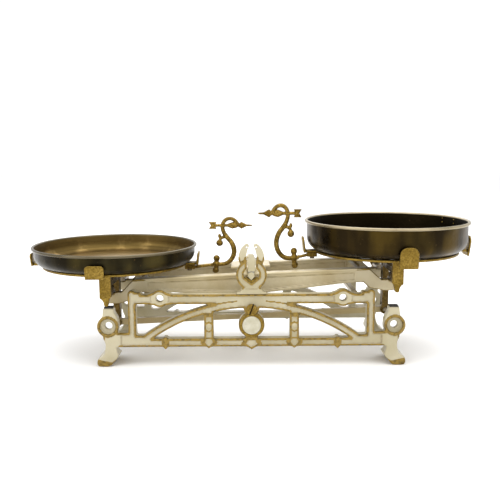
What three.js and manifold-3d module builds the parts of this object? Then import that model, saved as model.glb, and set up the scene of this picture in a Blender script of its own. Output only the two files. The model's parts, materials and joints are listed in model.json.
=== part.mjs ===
// A Roberval counter scale for the kitchen: two open-work cast frames, a double-bar beam on
// knife edges, a lower stay that keeps both pan crosses level, and two lift-off pans.
// Millimetres, +Z up, +X to the right, +Y to the back. The origin is on the table, mid-scale.

import * as THREE from 'three';
import { mergeVertices } from 'three/addons/utils/BufferGeometryUtils.js';
import Module from 'manifold-3d';

const wasm = await Module();
wasm.setup();

// ---------- driving dimensions ----------

const gap = 0.3; // clearance between pieces that touch
const arm = 200; // centre knife to load knife
const frameHalfDepth = 86;
const flange = 14; // depth of each frame casting
const fulcrumHeight = 121;
const stayPivotHeight = 58.6;
const loadKnifeDrop = 7; // load knives lie below the centre knife
const restTilt = THREE.MathUtils.degToRad(2.5); // left side hangs low
const railTop = 101.5;
const railBottom = 88;
const lowRailTop = 39.3;
const lowRailBottom = 27.8;
const postOuter = 170;
const postInner = 159;
const postHeight = 107.4;
const ringX = 198;
const ringHeight = 57;
const bossX = 126;
const ornamentX = 59;
const crossTop = 28; // above the load knife edge
const crossThickness = 3.5;
const panRadius = 116.6;

const frontY = -frameHalfDepth;
const linkHeight = fulcrumHeight - stayPivotHeight;

// ---------- materials ----------

function paint(color, roughness, metalness) {
  return new THREE.MeshStandardMaterial({ color, roughness, metalness });
}

const enamel = paint(0xe4dfc8, 0.45, 0.0);
const goldBronze = paint(0x9a7a2a, 0.45, 0.8);
const darkBronze = paint(0x6b4c17, 0.5, 0.85);
const steel = paint(0x8c8a84, 0.35, 0.9);
const darkBrass = paint(0x3a3222, 0.35, 0.85);
const felt = paint(0x1c1a18, 0.95, 0.0);
const medallionWhite = paint(0xd9dcd8, 0.4, 0.0);

// ---------- solids ----------

function merged(geometry) {
  const bare = geometry.clone();
  bare.deleteAttribute('normal');
  bare.deleteAttribute('uv');
  return mergeVertices(bare, 1e-4);
}

function toSolid(geometry) {
  const clean = merged(geometry);
  const mesh = new wasm.Mesh({
    numProp: 3,
    vertProperties: new Float32Array(clean.attributes.position.array),
    triVerts: new Uint32Array(clean.index.array),
  });
  return new wasm.Manifold(mesh);
}

function toGeometry(solid) {
  const mesh = solid.getMesh();
  const geometry = new THREE.BufferGeometry();
  geometry.setAttribute('position', new THREE.BufferAttribute(mesh.vertProperties, 3));
  geometry.setIndex(new THREE.BufferAttribute(mesh.triVerts, 1));
  geometry.computeVertexNormals();
  return geometry;
}

function join(...geometries) {
  return toGeometry(geometries.map(toSolid).reduce((sum, next) => sum.add(next)));
}

function cut(body, ...tools) {
  return toGeometry(tools.map(toSolid).reduce((rest, tool) => rest.subtract(tool), toSolid(body)));
}

function common(first, second) {
  return toGeometry(toSolid(first).intersect(toSolid(second)));
}

function mirrored(geometry, axis) {
  const scale = axis === 'x' ? [-1, 1, 1] : [1, -1, 1];
  const copy = merged(geometry).scale(...scale);
  const index = copy.index.array;
  for (let i = 0; i < index.length; i += 3) [index[i], index[i + 1]] = [index[i + 1], index[i]];
  return copy;
}

const bothSides = (geometry) => [geometry, mirrored(geometry, 'x')];

function block([x0, x1], [y0, y1], [z0, z1]) {
  const box = new THREE.BoxGeometry(x1 - x0, y1 - y0, z1 - z0);
  return box.translate((x0 + x1) / 2, (y0 + y1) / 2, (z0 + z1) / 2);
}

function rodY(x, z, radius, [y0, y1], segments = 20) {
  const rod = new THREE.CylinderGeometry(radius, radius, y1 - y0, segments);
  return rod.translate(x, (y0 + y1) / 2, z);
}

// A shape drawn in X and Z, given its thickness along Y.
function plate(shape, [y0, y1], curveSegments = 8) {
  const geometry = new THREE.ExtrudeGeometry(shape, { depth: y1 - y0, bevelEnabled: false, curveSegments });
  return geometry.rotateX(Math.PI / 2).translate(0, y1, 0);
}

function outline(...points) {
  return new THREE.Shape(points.map(([x, z]) => new THREE.Vector2(x, z)));
}

// ---------- the frame castings ----------

const archCentre = -156.9;
const archInner = 239.4;
const archOuter = 250;
const ringRadius = 15;
const ringBore = 5.3;
const ringCup = 10.6;
const bossRadius = 12;
const bossHeight = 96;
const bossBore = 5.2;
const padTop = 84.3;
const padHeight = 1.4;
const tieScrewHeight = 80.7;
const rodRadius = 4;
const medallionRadius = 16.6;
const tieHeadRadius = 7.9;
const slotLean = 70; // degrees, from level
const footDepth = 48;
const ornamentRelief = 1.4;

function archBand(y) {
  const endAngle = Math.acos(150 / archOuter);
  const shape = new THREE.Shape();
  shape.absarc(0, archCentre, archOuter, endAngle, Math.PI - endAngle, false);
  shape.absarc(0, archCentre, archInner, Math.PI - endAngle, endAngle, true);
  const foot = block([138, 160], y, [lowRailBottom + 1, 44]);
  const band = plate(shape, y, 24);
  return [band, ...bothSides(foot)];
}

// The foot is a column that swells into a paw, seen from the front and from the side.
function foot() {
  const front = new THREE.Shape();
  front.moveTo(188, 46);
  front.lineTo(187.2, 25.7);
  front.quadraticCurveTo(186.2, 21.5, 184.8, 16.5);
  front.quadraticCurveTo(184.4, 13.5, 187.5, 10);
  front.lineTo(191.7, 5.6);
  front.quadraticCurveTo(194.5, 0.6, 199, 0);
  front.lineTo(209, 0);
  front.quadraticCurveTo(214.5, 0.2, 214.1, 5.7);
  front.quadraticCurveTo(214, 11, 210.5, 13);
  front.quadraticCurveTo(204.6, 15, 203, 21.5);
  front.quadraticCurveTo(201.9, 27, 202, 33);
  front.lineTo(204.8, 40);
  front.lineTo(205, 46);
  const across = plate(front, [frontY - 1, frontY + footDepth + 1]);
  const side = new THREE.Shape();
  side.moveTo(frontY, 46);
  side.lineTo(frontY, 0);
  side.lineTo(frontY + footDepth, 0);
  side.quadraticCurveTo(frontY + footDepth + 2, 8, frontY + footDepth - 8, 12);
  side.quadraticCurveTo(frontY + flange + 3, 16, frontY + flange, 34);
  side.lineTo(frontY + flange, 46);
  const depth = 40;
  const along = new THREE.ExtrudeGeometry(side, { depth, bevelEnabled: false, curveSegments: 6 });
  // drawn in Y and Z, then pushed along X through the column
  along.applyMatrix4(new THREE.Matrix4().set(0, 0, 1, 183, 1, 0, 0, 0, 0, 1, 0, 0, 0, 0, 0, 1));
  return common(across, along);
}

// The end ring with the stop stub on top of it.
function endRing(y) {
  const stubTop = padTop - padHeight - gap;
  const stub = outline([183, 62], [208, 62], [205.1, 72.3], [204, stubTop], [189.6, stubTop],
    [188.9, 76.9], [185, 69.4]);
  return [rodY(ringX, ringHeight, ringRadius, y, 28), plate(stub, y),
    block([postInner, 195], y, [lowRailBottom, 48])];
}

function ornamentBar(y) {
  const bar = outline([-6.5, 78], [-6.5, 39.5], [-8.7, 34.5], [-5, 29.5], [0, 25.6], [5, 29.5],
    [8.7, 34.5], [6.5, 39.5], [6.5, 78]);
  const lower = block([-10, 10], [y[0] - 4, y[1]], [20, 73]);
  const raised = common(plate(bar, [y[0] - ornamentRelief, y[0] + 1]), lower);
  const stud = new THREE.SphereGeometry(4.6, 14, 9).translate(0, frontY - 0.6, 57.5);
  return join(plate(bar, y), raised, stud).translate(ornamentX, 0, 0);
}

function smallBand() {
  const band = outline([-2.4, 41.5], [-2.4, 27], [0, 24.4], [2.4, 27], [2.4, 41.5]);
  return plate(band, [frontY - ornamentRelief, frontY + flange]).translate(119, 0, 0);
}

// A round boss on the top rail, faired into it on both sides.
function railBoss(y) {
  const fairing = outline([-17, railTop], [-8.4, 104.4], [8.4, 104.4], [17, railTop], [17, railBottom],
    [7.6, 86.6], [-7.6, 86.6], [-17, railBottom]);
  return [rodY(bossX, bossHeight, bossRadius, y, 24), plate(fairing, y).translate(bossX, 0, 0)];
}

function frameCasting() {
  const y = [frontY, frontY + flange];
  const through = [y[0] - 3, y[1] + 3];
  const post = [block([postInner, postOuter], y, [lowRailBottom, postHeight - 5.5]),
    rodY((postInner + postOuter) / 2, postHeight - 5.5, 5.5, y)];
  const shoulder = block([152, 162], y, [railTop - 3, railTop + 3.4]);
  const halves = [...post, shoulder, ...railBoss(y), ...endRing(y), foot(),
    ornamentBar(y), smallBand()];
  const shield = outline([-7, 42], [-7.2, 39.4], [-11.7, 31.2], [0, 24], [11.7, 31.2], [7.2, 39.4],
    [7, 42]);
  const body = join(
    block([-200, 200], y, [lowRailBottom, lowRailTop]),
    block([-164, 164], y, [railBottom, railTop]),
    ...archBand(y),
    ...halves.flatMap(bothSides),
    rodY(0, tieScrewHeight, 10.5, y),
    rodY(0, stayPivotHeight, medallionRadius + 1.4, y, 32),
    block([-8.4, 8.4], y, [38, 46]),
    plate(shield, [frontY - ornamentRelief, y[1]]),
  );
  const bores = [rodY(bossX, bossHeight, bossBore, through),
    rodY(ringX, ringHeight, ringBore, through),
    rodY(ringX, ringHeight, ringCup, [through[0], frontY + 6], 24)];
  return cut(body, ...bores.flatMap(bothSides),
    rodY(0, tieScrewHeight, rodRadius + gap, through),
    rodY(0, stayPivotHeight, rodRadius + gap, through));
}

// ---------- the stand that carries the centre knife ----------

const standRadius = 21;
const standCentre = 128.3;
const standDepth = 12;
const keyholeRadius = 10.6;
const keyholeCentre = 128.6;
const keyholeTip = 116.8;
const neckHalf = 6.3;
const pedestal = [[-20.5, railTop + gap], [20.5, railTop + gap], [20.5, 103.8], [15.5, 105.2],
  [12, 110.5], [-12, 110.5], [-15.5, 105.2], [-20.5, 103.8]];

// A round hole whose lower side runs down to a point.
function keyhole() {
  const side = THREE.MathUtils.degToRad(20);
  const shape = new THREE.Shape();
  shape.absarc(0, keyholeCentre, keyholeRadius, -side, Math.PI + side, false);
  shape.lineTo(0, keyholeTip);
  return plate(shape, [frontY - 2, frontY + standDepth + 2], 28);
}

// The front stand is a ring with two horns; its keyhole opens upward into the neck.
function frontStand() {
  const y = [frontY, frontY + standDepth];
  const horn = new THREE.Shape();
  horn.moveTo(neckHalf, 142);
  horn.lineTo(7.4, 151);
  horn.quadraticCurveTo(6.8, 160, 3.2, 168);
  horn.quadraticCurveTo(3.6, 171.6, 7, 171);
  horn.quadraticCurveTo(17.5, 164, 18, 149.6);
  horn.lineTo(14, 140);
  const body = join(plate(outline(...pedestal), y), rodY(0, standCentre, standRadius, y, 40),
    ...bothSides(plate(horn, [frontY + 2, frontY + 9])));
  const through = [y[0] - 2, y[1] + 2];
  return cut(body, keyhole(), block([-neckHalf, neckHalf], through, [keyholeCentre, 152]),
    ...bothSides(rodY(6.4, 166, 1.5, through, 16)));
}

// The rear stand is a plain low block, open at the top.
function rearStand() {
  const y = [frontY, frontY + standDepth];
  const pillar = outline([-14.5, 108], [14.5, 108], [14.5, 124], [12.5, 127.5], [-12.5, 127.5],
    [-14.5, 124]);
  return cut(join(plate(outline(...pedestal), y), plate(pillar, y)), keyhole());
}

function fulcrumBearing() {
  const seat = outline([0, keyholeTip + 0.4], [9.2, 124.75], [8, 125.8], [0, fulcrumHeight - gap],
    [-8, 125.8], [-9.2, 124.75]);
  return plate(seat, [frontY + 0.6, frontY + standDepth - 0.6]);
}

function knifeKeeper() {
  const y = [frontY + 1.5, frontY + standDepth - 3];
  return join(block([gap - neckHalf, neckHalf - gap], y, [141.5, 150.4]),
    block([-4.8, 4.8], y, [133.2, 142]), rodY(0, 152.6, 4.2, y, 24));
}

// ---------- small base fittings ----------

function stopPad() {
  return block([190.4, 202.8], [frontY + 1, frontY + flange - 1], [padTop - padHeight, padTop]);
}

function tieScrew() {
  const head = rodY(0, tieScrewHeight, tieHeadRadius, [frontY - 3.2, frontY - gap], 32);
  const shank = rodY(0, tieScrewHeight, rodRadius, [frontY - 0.5, frontY + flange], 24);
  const slot = block([-10, 10], [frontY - 4, frontY - 1.8], [-1, 1]);
  slot.rotateY(THREE.MathUtils.degToRad(-slotLean)).translate(0, 0, tieScrewHeight);
  return cut(join(head, shank), slot);
}

// The rim is notched where the head of the tie screw reaches into it.
function medallion() {
  const rim = rodY(0, stayPivotHeight, medallionRadius, [frontY - 2.6, frontY - gap], 36);
  return cut(rim, rodY(0, stayPivotHeight, medallionRadius - 3.6, [frontY - 4, frontY - 1.2], 36),
    rodY(0, tieScrewHeight, tieHeadRadius + gap, [frontY - 4, frontY], 32));
}

function medallionDisc() {
  const y = [frontY - 2.4, frontY - 1.2 - gap];
  return rodY(0, stayPivotHeight, medallionRadius - 3.9, y, 36);
}

const betweenFrames = frameHalfDepth - flange - gap;

function frameTie() {
  return block([146, 154], [-betweenFrames, betweenFrames], [railBottom + 0.6, 94]);
}

// ---------- the beam, drawn from its centre knife edge ----------

const barY = [-53, -41];
const barTop = 3.7;
const hubRadius = 8;
const knifeRound = 4.4;
const knifeCentre = 6.8;

// Round on top, with both flanks running tangent down to the edge at the origin.
function centreKnifeShape(grow = 0) {
  const radius = knifeRound + grow;
  const lift = knifeCentre;
  const edge = -2 * grow;
  const tangent = Math.acos(radius / (lift - edge));
  const shape = new THREE.Shape();
  shape.absarc(0, lift, radius, tangent - Math.PI / 2, 1.5 * Math.PI - tangent, false);
  shape.lineTo(0, edge);
  return shape;
}

function loadKnifeShape(grow = 0) {
  const half = 5 + grow;
  return outline([-half, -9 - grow], [half, -9 - grow], [half, -5], [0, grow], [-half, -5]);
}

function beamBar() {
  const side = outline([0, barTop], [166, barTop], [184, -14], [206, -14], [207, -24], [203, -30],
    [190, -31], [167, -25.5], [158, -16.5], [126, -17.5], [75, -21.5], [20, -25], [0, -25]);
  const rib = outline([0, barTop], [165, barTop], [167, barTop - 2.4], [0, barTop - 2.4]);
  return [plate(side, barY), plate(rib, [barY[0] - 1.6, barY[1] + 1.6])].flatMap(bothSides);
}

function beamCasting() {
  const inside = barY[1] + 1;
  const front = [...beamBar(), rodY(0, knifeCentre, hubRadius, barY, 36)];
  const bridgeTop = [barTop - 0.2, barTop + 3.4];
  const bridge = join(block([-29, 29], [-9, -inside + 2], bridgeTop),
    block([-12, 12], [inside - 2, -8], bridgeTop));
  const floor = outline([160, -8], [164, -4], [186, -24.5], [183, -28]);
  const web = outline([150, -15], [155, -15], [155, 2], [150, 2]);
  const crosswise = [floor, web].map((shape) => plate(shape, [inside - 2, -inside + 2]));
  const body = join(bridge, ...crosswise.flatMap(bothSides),
    ...front, ...front.map((piece) => mirrored(piece, 'y')));
  const slot = [barY[0] - 3, barY[1] + 3];
  const pockets = [plate(centreKnifeShape(gap), slot),
    ...bothSides(plate(loadKnifeShape(gap), slot).translate(arm, 0, -loadKnifeDrop))];
  return cut(body, ...pockets, ...pockets.map((piece) => mirrored(piece, 'y')));
}

function centreKnife() {
  return plate(centreKnifeShape(), [frontY + 1, barY[1]]);
}

function loadKnife() {
  return plate(loadKnifeShape(), [-77, barY[1]]).translate(arm, 0, -loadKnifeDrop);
}

// ---------- the lower stay, drawn from its centre pivot ----------

const stayY = [-4, 4];
const pinRadius = 2.8;

function stayBar() {
  const side = outline([0, -4.6], [60, -3], [arm, -2.6], [arm, -11.4], [60, -11.4], [0, -11.4]);
  const eye = rodY(arm, -loadKnifeDrop, 7, stayY, 28);
  const body = join(...[plate(side, stayY), eye].flatMap(bothSides), rodY(0, 0, 10, [-11, 11], 32));
  return cut(body, rodY(0, 0, rodRadius + gap, [-20, 20]),
    ...bothSides(rodY(arm, -loadKnifeDrop, pinRadius + gap, [-9, 9], 20)));
}

function stayPin() {
  return rodY(arm, -loadKnifeDrop, pinRadius, [-8.4, 8.4], 20);
}

// ---------- a pan cross, drawn for the right side from its load knife edge ----------

const crossBottom = crossTop - crossThickness;
const crossRing = 105;
const fingerReach = 120.5;
const fingerThickness = 3.2;
const fingerLean = THREE.MathUtils.degToRad(7);
const fingerAside = 6.5; // the front and rear fingers stand this far outboard
const yokeY = 77.7;
const yokeZ = [5, 13];

function flat(shape, [z0, z1], curveSegments = 36) {
  return new THREE.ExtrudeGeometry(shape, { depth: z1 - z0, bevelEnabled: false, curveSegments })
    .translate(0, 0, z0);
}

// An upright tab at the end of an arm; it stops the pan from sliding off.
function finger(rise, drop, archRadius) {
  const half = 12.8;
  const low = crossBottom - drop;
  const high = crossTop + rise;
  const tab = new THREE.Shape();
  tab.moveTo(-half, low);
  tab.lineTo(half, low);
  tab.lineTo(half, high - archRadius);
  tab.absarc(half - archRadius, high - archRadius, archRadius, 0, Math.PI / 2, false);
  tab.absarc(archRadius - half, high - archRadius, archRadius, Math.PI / 2, Math.PI, false);
  const upright = plate(tab, [-fingerThickness / 2, fingerThickness / 2]).translate(0, 0, -crossBottom);
  return upright.rotateX(fingerLean).translate(0, -fingerReach, crossBottom);
}

function panCross(fingerRise, fingerDrop, archRadius) {
  const ring = new THREE.Shape().absarc(0, 0, crossRing, 0, 2 * Math.PI, false);
  ring.holes.push(new THREE.Path().absarc(0, 0, crossRing - 8, 0, 2 * Math.PI, true));
  const hub = new THREE.Shape().absarc(0, 0, 26, 0, 2 * Math.PI, false);
  const pieces = [flat(ring, [crossBottom, crossTop]), flat(hub, [crossBottom, crossTop], 24)];
  for (let quarter = 0; quarter < 4; quarter += 1) {
    const inner = quarter === 1;
    // quarter 0 points to the front, 1 to the middle of the scale, then rear and outside
    const aside = [fingerAside, 0, -fingerAside, 0][quarter];
    const end = 1 - fingerReach;
    const limb = flat(outline([-9, 0], [9, 0], [aside + 9, end], [aside - 9, end]),
      [crossBottom, crossTop]);
    const tab = finger(fingerRise, inner ? 0 : fingerDrop, archRadius).translate(aside, 0, 0);
    pieces.push(...[limb, tab].map((piece) => piece.rotateZ((-quarter * Math.PI) / 2)));
  }
  return join(...pieces);
}

function crossLeg() {
  const leg = new THREE.Shape();
  leg.moveTo(-7, crossBottom - gap);
  leg.lineTo(-7, -7);
  leg.quadraticCurveTo(-4.5, -9.5, -4, -13);
  leg.absarc(0, -17, 3.2, Math.PI * 0.9, Math.PI * 2.1, false);
  leg.quadraticCurveTo(4.4, -10.5, 8.6, -9);
  leg.lineTo(8.6, crossBottom - gap);
  return plate(leg, [-84, -78]);
}

function crossYoke() {
  const stemTop = [-yokeZ[1], crossBottom - gap];
  return join(block([-5.5, 5.5], [-yokeY, yokeY], yokeZ), block([-6, 6], [-9, 9], [yokeZ[0], stemTop[1]]));
}

function loadBearing() {
  const seat = outline([-7, yokeZ[0] - gap], [-7, -2], [-4.2, -2], [0, gap], [4.2, -2], [7, -2],
    [7, yokeZ[0] - gap]);
  return plate(seat, [-yokeY + gap, -58]);
}

function crossStem() {
  const pin = -linkHeight;
  const rod = block([-4.6, 4.6], [-7.8, 7.8], [pin - 5, yokeZ[0] - gap]);
  const end = rodY(0, pin, 6.4, [-7.8, 7.8], 28);
  return cut(join(rod, end), block([-9, 9], [stayY[0] - 0.5, stayY[1] + 0.5], [pin - 9, pin + 10]),
    rodY(0, pin, pinRadius + 0.8, [-12, 12], 20));
}

// ---------- a pointer, drawn for the right side from the middle of the scale ----------

const pointerHeight = 134 - fulcrumHeight + loadKnifeDrop; // above the load knife edge
const pointerHalf = 2.8;
const shaftZ = 61.8;

// Height and distance from mid-scale are counted from the base bar. The two pointers differ by
// hand work: each is shifted along the beam, and its foot is bent up or down to meet the seat.
function pointer({ shift, rise }) {
  const at = (x, z) => [x + shift, z + rise * (1 - z / shaftZ)];
  const drawn = (...points) => outline(...points.map(([x, z]) => at(x, z)));
  const neck = [[57, 0], [45, 0.2], [37, 5], [32, 14], [31.6, 24], [35.7, 35], [43.2, 44.4], [47.8, 53],
    [48.8, 62], [45.2, 70.2], [37.3, 73.2], [30.4, 70], [26, 64.6]];
  const path = neck.map(([x, z]) => new THREE.Vector3(at(x, z)[0], 0, at(x, z)[1]));
  const section = new THREE.Shape().absarc(0, 0, pointerHalf, 0, 2 * Math.PI, false);
  const swan = new THREE.ExtrudeGeometry(section, {
    extrudePath: new THREE.CatmullRomCurve3(path), steps: 32, bevelEnabled: false, curveSegments: 4,
  });
  const y = [-2, 2];
  const arrow = drawn([4.8, shaftZ], [14.6, shaftZ + 1.4], [20.7, shaftZ + 5], [24.8, shaftZ + 1.8],
    [33.7, shaftZ + 4.6], [41, shaftZ + 1.8], [56, shaftZ + 1.8], [60, shaftZ + 5.2],
    [68.3, shaftZ + 5.2], [65, shaftZ], [68.3, shaftZ - 5.2], [60, shaftZ - 5.2], [56, shaftZ - 1.8],
    [41, shaftZ - 1.8], [33.7, shaftZ - 4.6], [24.8, shaftZ - 1.8], [20.7, shaftZ - 5],
    [14.6, shaftZ - 1.4]);
  const branch = drawn([41, 40], [44, 44.5], [54.5, 35], [51, 32]);
  const bud = drawn([51, 36], [53, 47.5], [55, 36]);
  const sphere = (x, z, size) => {
    const [px, pz] = at(x, z);
    return new THREE.SphereGeometry(size, 14, 9).translate(px, 0, pz);
  };
  const inner = 57 + shift;
  const base = outline([inner, rise - 2.6], [84, -2.4], [98, -2.4], [98, 2.4], [84, 2.4],
    [inner, rise + 2.6]);
  const seat = block([84, 98], [-6, 6], [-2.4, crossBottom - gap - pointerHeight]);
  return join(swan, plate(arrow, y), plate(branch, y), plate(bud, y), sphere(52.8, 34, 4.8),
    sphere(57.5, 10, 4.5), sphere(58, 0, 4.3), sphere(59, -10, 4.5),
    plate(drawn([55.4, 10], [60, 10], [61, -10], [57, -10]), y), plate(base, [-3.4, 3.4]), seat)
    .translate(-arm, 0, pointerHeight);
}

function pointerScrew() {
  const z = pointerHeight - 2.4;
  const head = new THREE.CylinderGeometry(3.6, 3.6, 2.2, 24).rotateX(Math.PI / 2);
  return head.translate(91 - arm, 0, z - 1.1 - gap);
}

// ---------- the pans ----------

// Sheet dish with a rounded foot and a rolled bead; heights count from its underside.
function pan(height, corner, beadRadius, sheet) {
  const arc = (radius, from, to, x, z, steps) => Array.from({ length: steps + 1 }, (_, i) => {
    const angle = from + ((to - from) * i) / steps;
    return new THREE.Vector2(x + radius * Math.cos(angle), z + radius * Math.sin(angle));
  });
  const beadX = panRadius + 0.9;
  const beadZ = height - beadRadius;
  const centreX = panRadius - corner;
  const profile = [
    new THREE.Vector2(0, 0),
    ...arc(corner, -Math.PI / 2, 0, centreX, corner, 4),
    ...arc(beadRadius, -Math.PI * 0.68, Math.PI * 1.02, beadX, beadZ, 6),
    ...arc(corner - sheet, 0, -Math.PI / 2, centreX, corner, 4),
    new THREE.Vector2(0, sheet),
  ];
  return new THREE.LatheGeometry(profile, 48).rotateX(Math.PI / 2);
}

// ---------- assembly ----------

const scale = new THREE.Group();

function add(parent, name, geometry, material) {
  const mesh = new THREE.Mesh(geometry, material);
  mesh.name = name;
  parent.add(mesh);
}

function tilted(height) {
  const group = new THREE.Group();
  group.position.set(0, 0, height);
  group.rotation.y = -restTilt;
  scale.add(group);
  return group;
}

function frontAndRear(parent, name, geometry, material) {
  add(parent, `${name}_front`, geometry, material);
  add(parent, `${name}_rear`, mirrored(geometry, 'y'), material);
}

frontAndRear(scale, 'frame', frameCasting(), enamel);
add(scale, 'fulcrum_stand_front', frontStand(), enamel);
add(scale, 'fulcrum_stand_rear', mirrored(rearStand(), 'y'), enamel);
frontAndRear(scale, 'fulcrum_bearing', fulcrumBearing(), steel);
add(scale, 'knife_keeper_front', knifeKeeper(), enamel);
frontAndRear(scale, 'tie_screw', tieScrew(), goldBronze);
frontAndRear(scale, 'medallion_rim', medallion(), goldBronze);
frontAndRear(scale, 'medallion_disc', medallionDisc(), medallionWhite);
frontAndRear(scale, 'stop_pad_right', stopPad(), felt);
frontAndRear(scale, 'stop_pad_left', mirrored(stopPad(), 'x'), felt);
add(scale, 'frame_tie_right', frameTie(), enamel);
add(scale, 'frame_tie_left', mirrored(frameTie(), 'x'), enamel);
add(scale, 'centre_tie_rod', rodY(0, tieScrewHeight, 6, [-betweenFrames, betweenFrames]), steel);
const pivotEnd = frameHalfDepth - 1;
add(scale, 'stay_pivot_rod', rodY(0, stayPivotHeight, rodRadius, [-pivotEnd, pivotEnd]), steel);

const beam = tilted(fulcrumHeight);
add(beam, 'beam', beamCasting(), enamel);
frontAndRear(beam, 'centre_knife', centreKnife(), steel);
frontAndRear(beam, 'load_knife_right', loadKnife(), steel);
frontAndRear(beam, 'load_knife_left', mirrored(loadKnife(), 'x'), steel);

const stay = tilted(stayPivotHeight);
add(stay, 'stay', stayBar(), enamel);
add(stay, 'stay_pin_right', stayPin(), steel);
add(stay, 'stay_pin_left', mirrored(stayPin(), 'x'), steel);

function addPanSide(side, sign, cross, arrow, dish) {
  const place = (geometry) => (sign > 0 ? geometry : mirrored(geometry, 'x'));
  const group = new THREE.Group();
  const turn = new THREE.Euler(0, -restTilt, 0);
  group.position.set(sign * arm, 0, -loadKnifeDrop).applyEuler(turn);
  group.position.z += fulcrumHeight;
  scale.add(group);
  add(group, `${side}_cross`, place(cross), goldBronze);
  frontAndRear(group, `${side}_leg`, place(crossLeg()), goldBronze);
  add(group, `${side}_yoke`, place(crossYoke()), darkBronze);
  frontAndRear(group, `${side}_load_bearing`, place(loadBearing()), steel);
  add(group, `${side}_stem`, place(crossStem()), darkBronze);
  add(group, `${side}_pointer`, place(arrow), darkBronze);
  add(group, `${side}_pointer_screw`, place(pointerScrew()), steel);
  add(group, `${side}_pan`, dish.translate(0, 0, crossTop + gap), darkBrass);
}

// The shallow pan is of thicker sheet, so that it slightly outweighs the deep one.
const shallow = { rise: 15, drop: 0, arch: 5, height: 27, corner: 15, bead: 2, sheet: 1.6 };
const deep = { rise: 20, drop: 6, arch: 10.5, height: 44.2, corner: 18, bead: 2.2, sheet: 1.2 };
const leftArrow = pointer({ shift: -6.5, rise: 4 });
const rightArrow = pointer({ shift: 6.5, rise: -5 });
for (const [side, sign, size, arrow] of [
  ['left', -1, shallow, leftArrow],
  ['right', 1, deep, rightArrow],
]) {
  const cross = panCross(size.rise, size.drop, size.arch);
  addPanSide(side, sign, cross, arrow, pan(size.height, size.corner, size.bead, size.sheet));
}

export default scale;
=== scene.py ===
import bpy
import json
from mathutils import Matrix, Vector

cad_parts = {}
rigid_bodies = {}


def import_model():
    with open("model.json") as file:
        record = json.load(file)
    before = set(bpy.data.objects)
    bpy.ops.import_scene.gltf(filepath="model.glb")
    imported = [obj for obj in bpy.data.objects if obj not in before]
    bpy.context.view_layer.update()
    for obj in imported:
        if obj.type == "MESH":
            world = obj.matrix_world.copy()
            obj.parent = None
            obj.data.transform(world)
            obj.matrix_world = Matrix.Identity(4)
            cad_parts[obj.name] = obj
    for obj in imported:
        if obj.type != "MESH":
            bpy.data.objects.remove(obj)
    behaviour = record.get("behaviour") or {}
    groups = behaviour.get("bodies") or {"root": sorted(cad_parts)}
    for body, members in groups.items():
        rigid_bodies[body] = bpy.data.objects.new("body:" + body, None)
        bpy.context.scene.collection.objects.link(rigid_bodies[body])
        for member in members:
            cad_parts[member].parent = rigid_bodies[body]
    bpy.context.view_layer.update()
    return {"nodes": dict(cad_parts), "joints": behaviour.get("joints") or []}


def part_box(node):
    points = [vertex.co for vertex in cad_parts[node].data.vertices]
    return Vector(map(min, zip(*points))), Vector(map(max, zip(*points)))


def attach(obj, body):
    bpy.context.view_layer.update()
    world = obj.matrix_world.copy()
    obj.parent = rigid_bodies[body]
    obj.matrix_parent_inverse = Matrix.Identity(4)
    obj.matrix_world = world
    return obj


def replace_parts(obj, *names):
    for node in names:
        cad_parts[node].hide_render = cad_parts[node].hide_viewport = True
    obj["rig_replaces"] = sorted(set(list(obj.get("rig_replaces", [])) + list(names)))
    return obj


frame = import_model()

import json
import math

import bmesh
import bpy
import numpy as np
from mathutils import Matrix, Vector, kdtree

# A Roberval counter scale: cream cast iron picked out in gold, bronze crosses and dark brass pans.
# Metres, +Z up, +X right along the beam, the front frame faces -Y.

mm = 0.001
scene = bpy.context.scene
jointAt = {joint["name"]: Vector(joint.get("pos_m", (0, 0, 0))) for joint in frame["joints"]}
print("frame loaded:", len(frame["nodes"]), "nodes")


# Selecting and applying

def makeActive(piece):
    bpy.ops.object.select_all(action="DESELECT")
    piece.select_set(True)
    bpy.context.view_layer.objects.active = piece


def applyModifier(piece, kind, **settings):
    makeActive(piece)
    modifier = piece.modifiers.new(kind.lower(), kind)
    for key, value in settings.items():
        setattr(modifier, key, value)
    bpy.ops.object.modifier_apply(modifier=modifier.name)


def applyPlace(piece):
    makeActive(piece)
    bpy.ops.object.transform_apply(location=True, rotation=True, scale=True)


def mergeInto(pieces, name):
    bpy.ops.object.select_all(action="DESELECT")
    for piece in pieces:
        piece.select_set(True)
    bpy.context.view_layer.objects.active = pieces[0]
    bpy.ops.object.join()
    pieces[0].name = name
    pieces[0].data.name = name
    return pieces[0]


def finishPiece(piece, material, body, slot, *replaced):
    piece.data.materials.clear()
    piece.data.materials.append(material)
    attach(piece, body)
    if replaced:
        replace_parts(piece, *replaced)
    return piece


# Material helpers

def newMaterial(name):
    material = bpy.data.materials.new(name)
    material.use_nodes = True
    tree = material.node_tree
    tree.nodes.clear()
    output = tree.nodes.new("ShaderNodeOutputMaterial")
    shader = tree.nodes.new("ShaderNodeBsdfPrincipled")
    tree.links.new(shader.outputs[0], output.inputs[0])
    return material, tree, shader


def feed(tree, socket, value):
    if isinstance(value, bpy.types.NodeSocket):
        tree.links.new(value, socket)
    elif socket.type == "RGBA":
        socket.default_value = (*value, 1)
    else:
        socket.default_value = value


def addNode(tree, kind, inputs, **settings):
    node = tree.nodes.new(kind)
    for key, value in settings.items():
        setattr(node, key, value)
    for key, value in inputs.items():
        feed(tree, node.inputs[key], value)
    return node


def place(tree, centre=(0, 0, 0), scale=(1, 1, 1)):
    here = tree.nodes.new("ShaderNodeTexCoord").outputs["Object"]
    back = [-value * size for value, size in zip(centre, scale)]
    mapping = addNode(tree, "ShaderNodeMapping", {"Vector": here, "Location": back, "Scale": scale})
    return mapping.outputs[0]


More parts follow.
